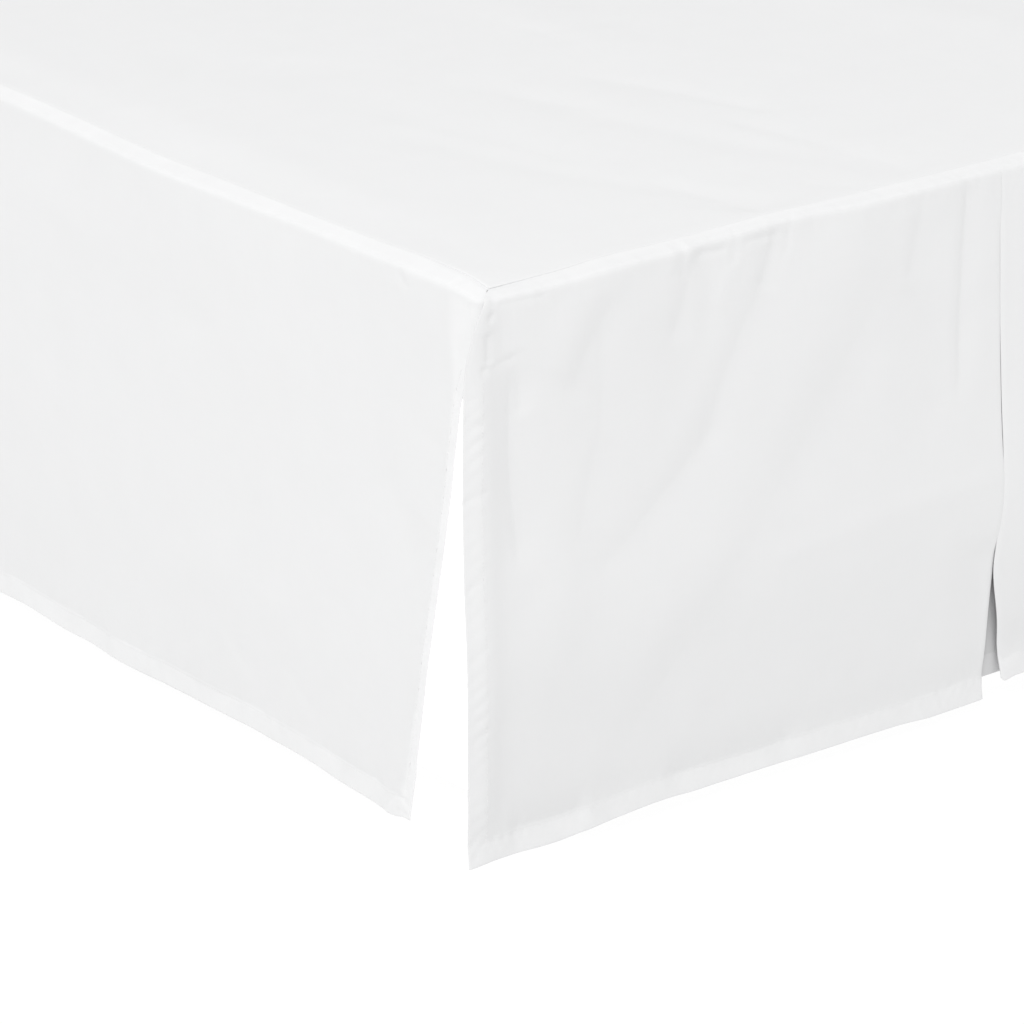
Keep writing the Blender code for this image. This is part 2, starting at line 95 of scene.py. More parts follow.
footSide = {"corner": (-footPleat, skirt["footSeam"], 0), "along": (1, 0, 0), "out": (0, -1, 0),
            "wraps": False, "slope": 16, "ends": (0.0, skirt["width"]), "pleat": footPleat}
leftSide = {"corner": (-footPleat, skirt["footSeam"], 0), "along": (0, 1, 0), "out": (-1, 0, 0),
            "wraps": True, "slope": 22, "ends": (0.0,), "pleat": sidePleat}
rightSide = {"corner": (footPleat, skirt["footSeam"], 0), "along": (0, 1, 0), "out": (1, 0, 0),
             "wraps": True, "slope": 20, "ends": (0.0,), "pleat": sidePleat}

# the rows of all the waves, edges, side tones, folds and creases are in millimetres

# how far each seam rises above (or below) its even line, from the near foot corner
footSide["seamWave"] = [
    (0, 0), (64, 0.4), (105, 2), (178, 1.4), (260, 2.6), (357, 1), (492, 0.6), (620, 1.6), (760, -0.6),
    (880, 1.4), (984, 0),
]
leftSide["seamWave"] = [
    (0, 0), (33, 3.8), (71, 3.8), (146, 1.5), (223, 0), (343, -0.9), (428, -2.2), (490, -0.9), (558, 0.8),
    (650, 2), (780, 0.2), (950, 1), (1200, -1), (1500, 1.4), (1901, 0),
]
rightSide["seamWave"] = [
    (0, 0), (50, 3), (120, 1.6), (260, -1), (420, 1.2), (640, -1.2), (900, 1), (1200, 1.4), (1500, -1),
    (1901, 0),
]

# how wide the shoulder is along each seam, in thousandths of its usual width
footSide["shoulderWave"] = [
    (0, 1000), (35, 1150), (93, 1180), (178, 1040), (200, 840), (237, 880), (262, 780), (297, 800),
    (357, 1120), (492, 1030), (640, 850), (800, 1100), (984, 1000),
]
leftSide["shoulderWave"] = [
    (0, 1050), (71, 1120), (146, 920), (223, 820), (303, 1000), (386, 1140), (471, 1000), (558, 860),
    (650, 780), (800, 1000), (1000, 1050), (1300, 850), (1600, 1080), (1901, 1000),
]
rightSide["shoulderWave"] = [
    (0, 1050), (100, 1080), (260, 850), (420, 1050), (640, 900), (900, 1050), (1200, 880), (1500, 1060),
    (1901, 1000),
]

# where an edge lies along its seam: depth down the cloth, distance along
footCornerEdge = [
    (0, 0), (6, -8), (12, -14.5), (28, -25.2), (72, -35.6), (161, -38.9), (319, -40.1), (460, -39.2),
]
farCornerEdge = [(s, -u) for s, u in footCornerEdge]
sideCornerEdge = [
    (0, 0), (4, -6), (17, -15), (60, 2), (96, 14.4), (118, 18.4), (180, 28.4), (266, 45.8), (353, 62),
    (460, 83.4),
]
pleatEdgeLeft = [
    (0, 0), (36, 1), (52, 0.9), (120, 2.8), (190, 5.1), (240, 7), (280, 8.5), (335, 2.2), (350, 0.8),
    (400, -3.5), (460, -7.8),
]
pleatEdgeRight = [(0, 0), (120, 3.5), (280, 8.5), (335, 2.2), (350, 0.8), (400, 6.8), (460, 12.8)]
plainPleatLeft = [(0, 0), (330, 0), (460, -6)]
plainPleatRight = [(0, 0), (330, 0), (460, 8)]
straightEdge = [(0, 0), (460, 0)]


def smoothStep(value):
    value = np.clip(value, 0, 1)
    return value * value * (3 - 2 * value)


# each fold is u0, s0, u1, s1, bow, height, width; above 0 a soft ridge, below 0 a trough.
# An eighth value gives it a sharp crest and makes its right side that many times as wide.
def foldRelief(folds, u, s):
    total = np.zeros_like(u)
    for row in folds:
        u0, s0, u1, s1, bow, height, width = [value / 1000 for value in row[:7]]
        crisp = row[7:]
        length = math.hypot(u1 - u0, s1 - s0)
        axisU = (u1 - u0) / length
        axisS = (s1 - s0) / length
        run = ((u - u0) * axisU + (s - s0) * axisS) / length
        held = np.clip(run, 0, 1)
        aside = (u - u0) * axisS - (s - s0) * axisU - bow * 4 * held * (1 - held)
        share = max(skirt["foldFade"], skirt["shortFade"] / length)
        fade = smoothStep(1 + run / share) * smoothStep(1 + (1 - run) / share)
        profile = np.exp(-(aside / width) ** 2)
        if crisp:
            right = np.exp(-(aside / (width * crisp[0])) ** 2)
            profile = np.where(aside > 0, right, np.exp(-np.abs(aside) / width))
        total += height * fade * profile
    return total


# soft random unevenness: many long waves in all directions, between -1 and 1 or so
def unevenness(u, s, seed, shortest, longest, count=14):
    rng = np.random.default_rng(seed)
    total = np.zeros_like(u)
    for wave in range(count):
        turn = rng.uniform(0, math.pi)
        waveLength = rng.uniform(shortest, longest)
        phase = rng.uniform(0, 2 * math.pi)
        place = u * math.cos(turn) + s * math.sin(turn)
        total += np.sin(place * 2 * math.pi / waveLength + phase)
    return total / math.sqrt(count)


# ripples along a line of stitches, at a distance gap from it
def puckers(along, gap, seed, reach, longest=0.024, leans=-0.9):
    rng = np.random.default_rng(seed)
    total = np.zeros_like(along)
    for wave in range(6):
        waveLength = rng.uniform(0.007, longest)
        slant = rng.uniform(leans, 0.9)
        phase = rng.uniform(0, 2 * math.pi)
        total += np.sin((along + slant * gap) * 2 * math.pi / waveLength + phase)
    return total / 2.5 * np.exp(-(gap / reach) ** 2)


# a smooth curve through an edge's rows that never overshoots them
def edgeAt(edge, s):
    depths = np.array([row[0] / 1000 for row in edge])
    places = np.array([row[1] / 1000 for row in edge])
    steps = np.diff(places) / np.diff(depths)
    slopes = [steps[0]]
    for before, after in zip(steps, steps[1:]):
        slopes.append(2 * before * after / (before + after) if before * after > 0 else 0.0)
    slopes = np.array(slopes + [steps[-1]])
    index = np.clip(np.searchsorted(depths, s, side="left") - 1, 0, len(steps) - 1)
    span = depths[index + 1] - depths[index]
    t = (s - depths[index]) / span
    return ((2 * t**3 - 3 * t**2 + 1) * places[index] + (t**3 - 2 * t**2 + t) * span * slopes[index]
            + (3 * t**2 - 2 * t**3) * places[index + 1] + (t**3 - t**2) * span * slopes[index + 1])


def alongRows(rows, u):
    return edgeAt(rows, np.clip(u, rows[0][0] / 1000, rows[-1][0] / 1000))


# a shoulder seen from its end: a sloping flat, a tight turn, then straight down
def shoulderAt(s, slope, offset):
    radius = skirt["turnRadius"]
    tilt = math.radians(slope)
    flat = (offset - radius * (1 - math.sin(tilt))) / math.cos(tilt)
    turn = radius * (math.pi / 2 - tilt)
    fall = offset - flat * math.sin(tilt) - radius * math.cos(tilt)
    nominal = offset * math.pi / 2
    walked = np.minimum(s / nominal, 1) * (flat + turn + fall)
    angle = tilt + np.clip((walked - flat) / radius, 0, math.pi / 2 - tilt)
    level = np.minimum(walked, flat)
    outward = level * math.cos(tilt) + radius * (np.sin(angle) - math.sin(tilt))
    down = level * math.sin(tilt) + radius * (math.cos(tilt) - np.cos(angle))
    down = down + np.maximum(0, walked - flat - turn) + np.maximum(0, s - nominal)
    return outward / offset, down, angle


# 1 at the foot corners of a seam, fading to 0 along it
def nearCorner(side, u):
    away = np.minimum.reduce([np.abs(u - end) for end in side["ends"]])
    return np.exp(-(away / skirt["cornerReach"]) ** 2)


# folds are the large relief, which fades out towards the seam; details run up to it
def hangingPoints(side, folds, details, u, s, offset, lean, seamDrop=0.0, hemWave=None):
    turn = np.zeros_like(u)
    if side["wraps"]:
        turn = np.maximum(0, (skirt["cornerStart"] - u) / skirt["cornerRadius"])
    share, down, angle = shoulderAt(s, side["slope"], offset)
    below = np.maximum(0, s - offset * math.pi / 2)
    wide = alongRows(side["shoulderWave"], u)
    reach = offset * (wide + (1 - wide) * smoothStep((s - skirt["evenFrom"]) / skirt["evenOver"]))
    along = np.where(turn > 0, skirt["cornerStart"] - skirt["cornerRadius"] * np.sin(turn), u)
    outward = reach - skirt["cornerRadius"] * (1 - np.cos(turn))
    alongAxis = np.array(side["along"], float)
    outAxis = np.array(side["out"], float)
    corner = np.array(side["corner"], float)
    facing = outAxis * np.cos(turn)[..., None] - alongAxis * np.sin(turn)[..., None]
    hang = corner + alongAxis * along[..., None] + outAxis * outward[..., None]
    seamPlace = np.maximum(u, 0) if side["wraps"] else u
    gap = skirt["seamGap"] + skirt["cornerGap"] * nearCorner(side, u)
    seam = corner + alongAxis * seamPlace[..., None] + outAxis * gap[..., None]
    points = seam * (1 - share[..., None]) + hang * share[..., None]
    points[..., 2] = skirt["deckTop"] - skirt["face"] - seamDrop - down
    swing = lean * below / skirt["drop"]
    room = smoothStep((np.abs(u - side["pleat"]) - skirt["pleatReach"]) / skirt["shoulderEnd"])
    deepest = skirt["troughLimit"] + skirt["moreRoom"] * room + swing
    held = smoothStep(s / skirt["shoulderEnd"]) * np.maximum(folds, -deepest)
    relief = held + details * smoothStep(s / skirt["detailFade"])
    points += facing * (np.sin(angle) * relief + swing)[..., None]
    points[..., 2] += np.cos(angle) * relief
    points[..., 2] += alongRows(side["seamWave"], u) * np.exp(-(s / skirt["seamReach"]) ** 2)
    if hemWave:                     # how far the hem hangs above (or below) its even line
        points[..., 2] += alongRows(hemWave, u) * np.clip(s / clothLength, 0, 1) ** 3
    return points


def normalsOf(place, u, s, outward):
    step = skirt["normalStep"]
    across = place(u + step, s) - place(u - step, s)
    down = place(u, s + step) - place(u, np.maximum(s - step, 0))
    normals = np.cross(across, down)
    normals /= np.linalg.norm(normals, axis=-1, keepdims=True)
    if (normals * np.array(outward, float)).sum() < 0:
        normals = -normals
    return normals


def newPiece(name, points, faces):
    mesh = bpy.data.meshes.new(name)
    mesh.from_pydata(points, [], faces)
    piece = bpy.data.objects.new(name, mesh)
    bpy.context.scene.collection.objects.link(piece)
    return piece


# a finished piece's material and body; the CAD node it stands for is hidden
def dress(piece, material, node=None):
    piece.data.materials.append(material)
    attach(piece, "root")
    if node:
        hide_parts(node)


# quads between rings of equally many points, the first of them numbered base
def ringFaces(rings, around, base=0, capped=True):
    faces = []
    for here in range(base, base + (rings - 1) * around, around):
        for step in range(around):
            after = (step + 1) % around
            faces.append((here + step, here + after, here + around + after, here + around + step))
    if capped:
        last = base + (rings - 1) * around
        faces.append(list(range(base, base + around))[::-1])
        faces.append(list(range(last, last + around)))
    return faces


# a closed thin cloth whose faces lie at outerFace and innerFace from place(u, s), with two UV maps:
# the flat cut's place, and how much whiter it is painted there (doubled cloth and painted highlight) and how
# much darker (painted shade)
def clothMesh(name, place, u, s, outward, outerFace, innerFace, layersAndPaintedLight, paintedShadeMask):
    facesOut = normalsOf(place, u, s, outward)
    middle = place(u, s)
    outer = middle + facesOut * outerFace[..., None]
    inner = middle + facesOut * innerFace[..., None]
    rows, columns = u.shape
    count = rows * columns
    index = np.arange(count).reshape(rows, columns)
    quads = np.stack([index[:-1, :-1], index[:-1, 1:], index[1:, 1:], index[1:, :-1]], -1).reshape(-1, 4)
    rim = np.concatenate([index[:-1, 0], index[-1, :-1], index[:0:-1, -1], index[0, :0:-1]])
    after = np.roll(rim, -1)
    walls = np.stack([rim, rim + count, after + count, after], -1)
    faces = np.concatenate([quads, quads[:, ::-1] + count, walls[:, ::-1]])
    corners = outer.reshape(-1, 3)[quads[:, :3]]
    turned = np.cross(corners[:, 1] - corners[:, 0], corners[:, 2] - corners[:, 1])
    if (turned * facesOut.reshape(-1, 3)[quads[:, 0]]).sum() < 0:
        faces = faces[:, ::-1]
    points = np.concatenate([outer.reshape(-1, 3), inner.reshape(-1, 3)])
    piece = newPiece(name, points.tolist(), faces.tolist())
    mesh = piece.data
    mesh.validate()
    loops = np.zeros(len(mesh.loops), np.int32)
    mesh.loops.foreach_get("vertex_index", loops)
    for mapName, across, down in (("cut", u, s), ("wear", layersAndPaintedLight, paintedShadeMask)):
        layer = mesh.uv_layers.new(name=mapName)
        values = np.stack([np.tile(across.ravel(), 2), np.tile(down.ravel(), 2)], -1)
        layer.uv.foreach_set("vector", values[loops].astype(np.float32).ravel())
    mesh.shade_smooth()
    return piece


def evenly(first, last, spacing):
    return list(np.linspace(first, last, max(2, round((last - first) / spacing) + 1)))


# distances from an edge: close together at the edge and along the hem's stitches
def edgeMarks(hem):
    marks = [0, 0.0003, 0.0008, 0.0016, 0.003]
    if hem:
        marks += evenly(0.0048, hem - 0.005, 0.002)
        marks += [hem + x for x in (-0.0033, -0.0025, -0.0018, -0.0011, -0.0004, 0.0006, 0.002, 0.0045)]
    return marks


# rows of a cloth from a depth down to its hemmed end
def hemmedRows(first, length, spacing):
    return (evenly(first, length - skirt["hem"] - 0.0045, spacing)[1:-1]
            + [length - x for x in edgeMarks(skirt["hem"])][::-1])


def edgeRounding(gap):
    return skirt["edgeShare"] * np.exp(-(gap / skirt["rounding"]) ** 2)


def hemShare(gap, hem):
    return smoothStep((hem + 0.0006 - gap) / 0.0012) if hem else np.zeros_like(gap)


def stitchDip(gap, hem):            # the groove that a line of stitches pulls
    return np.exp(-((gap - hem + skirt["stitchInset"]) / 0.0009) ** 2) if hem else np.zeros_like(gap)


# a stitch's rings are at a share of its length, with a height and a share of its radius
thread = {
    "pitch": 0.0034, "long": 0.0027, "radius": 0.00024, "sides": 5, "flat": 0.7,
    "shape": [(-0.5, -0.00016, 0.7), (-0.32, 0.00006, 1.0), (0.32, 0.00006, 1.0), (0.5, -0.00016, 0.7)],
}


# one mesh of small rounded stitches along lines of points; each line has points and normals
def stitchMesh(name, lines):
    sides = thread["sides"]
    points = []
    faces = []
    for line, normals in lines:
        steps = np.linalg.norm(np.diff(line, axis=0), axis=1)
        walked = np.concatenate([[0], np.cumsum(steps)])
        centres = np.arange(thread["pitch"] * 0.7, walked[-1], thread["pitch"])

        def along(rows, shift=0.0):
            return np.stack([np.interp(centres + shift, walked, rows[:, k]) for k in range(3)], -1)

        middle = along(line)
        up = along(normals)
        forward = along(line, 0.0005) - along(line, -0.0005)
        forward /= np.linalg.norm(forward, axis=1, keepdims=True)
        up /= np.linalg.norm(up, axis=1, keepdims=True)
        aside = np.cross(forward, up)
        for at, run, rise, wide in zip(middle, forward, up, aside):
            base = len(points)
            for share, height, thick in thread["shape"]:
                ring = at + run * share * thread["long"] + rise * height
                for side in range(sides):
                    angle = 2 * math.pi * side / sides
                    spoke = wide * math.cos(angle) + rise * math.sin(angle) * thread["flat"]
                    points.append(ring + spoke * thread["radius"] * thick)
            faces += ringFaces(len(thread["shape"]), sides, base)
    piece = newPiece(name, [tuple(p) for p in points], faces)
    piece.data.shade_smooth()
    return piece


def stitchLine(place, u, s, outward):
    normals = normalsOf(place, u, s, outward)
    line = place(u, s) + normals * (skirt["face"] + skirt["hemRise"] - skirt["stitchSink"])
    return line, normals


class Wire:
    def __init__(self, tree, socket=None):
        self.tree = tree
        self.socket = socket

    def add(self, kind, sockets=None, output=0, **settings):
        node = self.tree.nodes.new("ShaderNode" + kind)
        for name, value in settings.items():
            setattr(node, name, value)
        for name, value in (sockets or {}).items():
            if isinstance(value, Wire):
                self.tree.links.new(value.socket, node.inputs[name])
            else:
                node.inputs[name].default_value = value
        return Wire(self.tree, node.outputs[output])

    def maths(self, operation, first, second=0.0):
        return self.add("Math", {0: first, 1: second}, operation=operation)

    def noise(self, scale, detail, more=None):
        sockets = {"Vector": self, "Scale": scale, "Detail": detail}
        return self.add("TexNoise", dict(sockets, **(more or {})))

    def bump(self, height, strength, distance):
        return self.add("Bump", {"Height": height, "Strength": strength, "Distance": distance})

    def sibling(self, output):          # another output of the same node
        return Wire(self.tree, self.socket.node.outputs[output])

    def __add__(self, other):
        return self.maths("ADD", self, other)

    def __sub__(self, other):
        return self.maths("SUBTRACT", self, other)

    def __rsub__(self, other):
        return self.maths("SUBTRACT", other, self)

    def __mul__(self, other):
        return self.maths("MULTIPLY", self, other)

    __radd__ = __add__
    __rmul__ = __mul__


def newMaterial(name):
    material = bpy.data.materials.new(name)
    material.use_nodes = True
    shader = material.node_tree.nodes["Principled BSDF"]
    return material, shader, Wire(material.node_tree)


def joinTo(wire, shader, name):
    wire.tree.links.new(wire.socket, shader.inputs[name])


def mixColours(start, share, first, second):
    return start.add("Mix", {0: share, 6: first, 7: second}, 2, data_type="RGBA")


# woven cotton, in the cut's own metres: threads both ways, slubs, and slow uneven tone
def cottonMaterial(name, finish):
    material, shader, start = newMaterial(name)
    cut = start.add("UVMap", uv_map="cut")
    u = start.add("SeparateXYZ", {0: cut})
    s = u.sibling(1)
    turns = 2 * math.pi / finish["threadPitch"]
    warp = start.maths("SINE", u * turns)
    weft = start.maths("SINE", s * turns)
    alongWarp = start.add("CombineXYZ", {0: u * 900, 1: s * 34})
    alongWeft = start.add("CombineXYZ", {0: u * 34, 1: s * 900})
    slub = (alongWarp.noise(1.0, 2.0) + alongWeft.noise(1.0, 2.0)) * 0.5
    cloudy = cut.noise(22.0, 4.0, {"Roughness": 0.6})
    height = warp * weft * 0.5 + slub * finish["slub"]
    bump = start.bump(height, finish["bump"], finish["bumpHeight"])
    wear = start.add("SeparateXYZ", {0: start.add("UVMap", uv_map="wear")})
    paintedShadeMask = wear.sibling(1)
    shade = (slub - 0.5) * finish["slubTone"] + (cloudy - 0.5) * finish["cloudTone"] + 0.5
    # the second UV map paints light and shade: its x whitens doubled cloth and adds painted highlights, its
    # y is painted shade, darker towards the hem
    shade = shade + wear * finish["layerAndLightTone"] - paintedShadeMask * finish["paintedShadeTone"]
    clamped = start.maths("MINIMUM", start.maths("MAXIMUM", shade, 0.0), 1.0)
    colour = mixColours(start, clamped, finish["dark"], finish["light"])
    joinTo(colour, shader, "Base Color")
    joinTo(cloudy * 0.1 + finish["roughness"], shader, "Roughness")
    joinTo(bump, shader, "Normal")
    shader.inputs["Specular IOR Level"].default_value = finish["specular"]
    shader.inputs["Sheen Weight"].default_value = finish["sheen"]
    shader.inputs["Sheen Roughness"].default_value = 0.55
    return material


cotton = {
    "dark": (0.712, 0.714, 0.717, 1), "light": (0.888, 0.89, 0.893, 1),
    "threadPitch": 0.0006, "slub": 0.6, "bump": 0.25, "bumpHeight": 0.0001,
    "slubTone": 0.11, "cloudTone": 0.12, "layerAndLightTone": 0.3, "paintedShadeTone": 0.17,
    "roughness": 0.82, "specular": 0.25, "sheen": 0.08,
}
# painted shade: the underlays' cloth is greyer, as they lie in shade inside the pleats
underlayPaintedShadeCotton = dict(cotton, dark=(0.52, 0.52, 0.525, 1), light=(0.68, 0.68, 0.685, 1))
skirtMaterial = cottonMaterial("skirtCotton", cotton)
underlayShadeMaterial = cottonMaterial("underlayPaintedShadeCotton", underlayPaintedShadeCotton)


def threadMaterial():
    material, shader, start = newMaterial("stitchThread")
    place = start.add("TexCoord", {}, 3)
    twist = place.noise(2600.0, 1.0)
    joinTo(mixColours(start, twist, (0.76, 0.76, 0.76, 1), (0.86, 0.86, 0.86, 1)), shader, "Base Color")
    joinTo(start.bump(twist, 0.4, 0.0001), shader, "Normal")
    shader.inputs["Roughness"].default_value = 0.6
    shader.inputs["Sheen Weight"].default_value = 0.1
    return material


stitchMaterial = threadMaterial()
print("cloth materials made")


# what most panels share
usualPanel = {
    "sideTone": [(0, 8), (60, 12), (460, 16)],   # width of the side hem's whiter band: doubled cloth and painted highlight
    # how much whiter the side hem, the shoulder and the seam's edge are painted: doubled cloth, with painted
    # highlight on the shoulder and the side hem
    "sideLayersAndLight": 0.3, "shoulderLayersAndHighlight": 0.3, "rimWhite": 0.2,
    "dust": 0.5,              # painted shade: how much darker the lower cloth is painted,
    "paintedShadeFrom": 0.2, "paintedShadeOver": 0.26,
    "pleatRoll": 0.0007,      # how far the folded edges of a closed pleat roll in
    "hemPucker": 0.00026, "seamPucker": 0.00018, "sidePucker": 0.0003, "stitchGroove": 0.00012,
    "uneven": 0.00016,
}


def makePanel(settings):
    panel = dict(usualPanel, **settings)
    side = panel["side"]
    startHem = panel["startHem"]
    endHem = panel["endHem"]
    length = clothLength
    hem = skirt["hem"]
    stitched = length - hem + skirt["stitchInset"]
    top = [0, 0.0003, 0.0007, 0.0012, 0.0019, 0.003]
    fine = panel["fine"]
    fineTo = 0.0632           # the shoulder's rows are fine down to here
    rows = np.array(top + evenly(0.0048, fineTo, fine)
                    + hemmedRows(fineTo, length, panel["spacing"]))
    startEdge = panel["start"] + edgeAt(panel["startEdge"], rows)
    endEdge = panel["end"] + edgeAt(panel["endEdge"], rows)
    startMarks = np.array(edgeMarks(startHem))
    endMarks = np.array(edgeMarks(endHem))[::-1]
    wide = panel["end"] - panel["start"] - startMarks[-1] - endMarks[0]
    shares = np.array(evenly(0, 0.036, fine) + evenly(0.036, wide - 0.05, panel["spacing"])[1:]
                      + evenly(wide - 0.05, wide, fine)[1:])[1:-1] / wide
    firstInner = startEdge + startMarks[-1]
    lastInner = endEdge - endMarks[0]
    u = np.concatenate([startEdge[:, None] + startMarks,
                        firstInner[:, None] * (1 - shares) + lastInner[:, None] * shares,
                        endEdge[:, None] - endMarks], axis=1)
    s = np.repeat(rows[:, None], u.shape[1], axis=1)
    seed = panel["seed"]

    def details(u, s):
        startGap = u - panel["start"] - edgeAt(panel["startEdge"], s)
        endGap = panel["end"] + edgeAt(panel["endEdge"], s) - u
        total = foldRelief(panel["creases"], u, s)
        total += panel["uneven"] * unevenness(u, s, seed, 0.035, 0.14)
        total += panel["hemPucker"] * puckers(u, s - stitched, seed + 1, 0.01)
        total += panel["seamPucker"] * puckers(u, s - 0.012, seed + 2, 0.016)
        gathered = panel["sidePucker"] * smoothStep((s - 0.06) / 0.03)
        if startHem:
            total += gathered * puckers(s, startGap - 0.01, seed + 3, 0.009, 0.016, 0.1)
        if endHem:
            total += gathered * puckers(s, 0.01 - endGap, seed + 4, 0.009, 0.016, 0.1)
            rolled = smoothStep((s - 0.01) / 0.01) * np.exp(-(startGap / 0.0026) ** 2)
        else:
            rolled = smoothStep((s - 0.04) / 0.025) * np.exp(-(endGap / 0.002) ** 2)
        return total - panel["pleatRoll"] * rolled

    def place(u, s):
        folds = foldRelief(panel["folds"], u, s)
        return hangingPoints(side, folds, details(u, s), u, s, skirt["shoulder"], skirt["lean"],
                             hemWave=panel["hemWave"])

    startGap = u - startEdge[:, None]
    endGap = endEdge[:, None] - u
    bottomGap = length - s
    unpinched = smoothStep((s - 0.05) / 0.05)                 # side hems are pinched flat at the seam
    sideHem = np.maximum(hemShare(startGap, startHem), hemShare(endGap, endHem)) * unpinched
    inHem = np.maximum(hemShare(bottomGap, hem), skirt["sideShare"] * sideHem)
    sideDip = np.maximum(stitchDip(startGap, startHem), stitchDip(endGap, endHem)) * unpinched
    dip = np.maximum(stitchDip(bottomGap, hem), 0.3 * sideDip)
    thick = skirt["cloth"] + skirt["hemExtra"] * inHem
    rounded = edgeRounding(bottomGap)
    for gap, hemmed in ((startGap, startHem), (endGap, endHem)):
        closed = smoothStep((s - 0.05) / 0.04) if hemmed else 0.3 * smoothStep((s - 0.045) / 0.03)
        rounded = np.maximum(rounded, closed * edgeRounding(gap))
    rounded = rounded * thick * smoothStep(s / 0.03)
    drawn = nearCorner(side, u)
    depth = skirt["seamDepth"] + skirt["cornerDepth"] * drawn
    groove = depth * np.exp(-(s / (skirt["seamWidth"] * (1 + 1.8 * drawn))) ** 2)
    patchy = 0.5 + 0.3 * unevenness(u, s, seed + 5, 0.012, 0.06)
    # the hem is painted whiter: partly its doubled cloth, partly painted light, with a wavy upper edge and
    # patches
    upper = 0.0025 * unevenness(u, 0 * s, seed + 6, 0.03, 0.12)
    hemWhiteAndPaintedLight = smoothStep((hem + upper + 0.002 - bottomGap) / 0.005) * (0.3 + 0.35 * patchy)
    # the side hem is painted whiter: partly its doubled cloth, partly painted highlight, widest on the left
    # foot panel where the cloth turns into the light
    wide = alongRows(panel["sideTone"], s)
    sideGap = startGap if startHem else endGap
    sideWhiteAndPaintedLight = panel["sideLayersAndLight"] * smoothStep(2.5 - 2 * sideGap / wide) * (0.7 + 0.6 * patchy)
    sideWhiteAndPaintedLight = sideWhiteAndPaintedLight * smoothStep((s - 0.012) / 0.012)
    # the seam's edge is painted whiter where the cloth is doubled, and the shoulder below it gets a painted
    # highlight, partly over the doubled seam allowance
    rim = panel["rimWhite"] * np.exp(-(s / 0.0035) ** 2)
    rim = rim + panel["shoulderLayersAndHighlight"] * (0.7 + 0.6 * patchy) * smoothStep((0.019 - s) / 0.006)
    layersAndPaintedLight = np.maximum.reduce([hemWhiteAndPaintedLight, sideWhiteAndPaintedLight, rim])
    # painted shade: the cloth is painted darker towards the hem, where less light reaches it
    paintedShadeMask = panel["dust"] * smoothStep((s - panel["paintedShadeFrom"]) / panel["paintedShadeOver"])
    face = skirt["face"] + skirt["hemRise"] * inHem
    piece = clothMesh(panel["name"], place, u, s, side["out"],
                      face - panel["stitchGroove"] * dip - rounded - groove,
                      face - thick + rounded - groove, layersAndPaintedLight, paintedShadeMask)

    step = skirt["stitchStep"]
    along = np.arange(startEdge[-1] + 2 * step, endEdge[-1] - 2 * step, step)
    lines = [stitchLine(place, along, np.full_like(along, stitched), side["out"])]
    down = np.arange(0.07, stitched, step)
    for edge, hemmed, inward in (("start", startHem, 1), ("end", endHem, -1)):
        if hemmed:
            inset = panel[edge] + edgeAt(panel[edge + "Edge"], down)
            inset = inset + inward * (hemmed - skirt["stitchInset"])
            lines.append(stitchLine(place, inset, down, side["out"]))
    stitches = stitchMesh(panel["name"] + "Stitches", lines)

    dress(piece, skirtMaterial, panel["node"])
    dress(stitches, stitchMaterial)
    print(panel["name"], "made with", len(piece.data.polygons), "faces")


# the foot's two panels are cut alike, and so are both long sides, in two halves
footPanel = {"side": footSide, "cut": (0.545, 0.482), "dust": 1.0, "shoulderLayersAndHighlight": 0.26, "rimWhite": 0.25}
footHalf = {"start": 0.0, "startEdge": sideCornerEdge, "startHem": skirt["narrowHem"],
            "end": sidePleat + skirt["pleatLap"], "endEdge": plainPleatLeft, "endHem": 0,
            "cut": (0.923, 0.482)}
headHalf = {"start": sidePleat - skirt["pleatLap"], "startEdge": plainPleatRight, "startHem": 0,
            "end": skirt["length"], "endEdge": straightEdge, "endHem": skirt["sideHem"],
            "cut": (0.968, 0.482), "spacing": 0.0065, "fine": 0.0025}

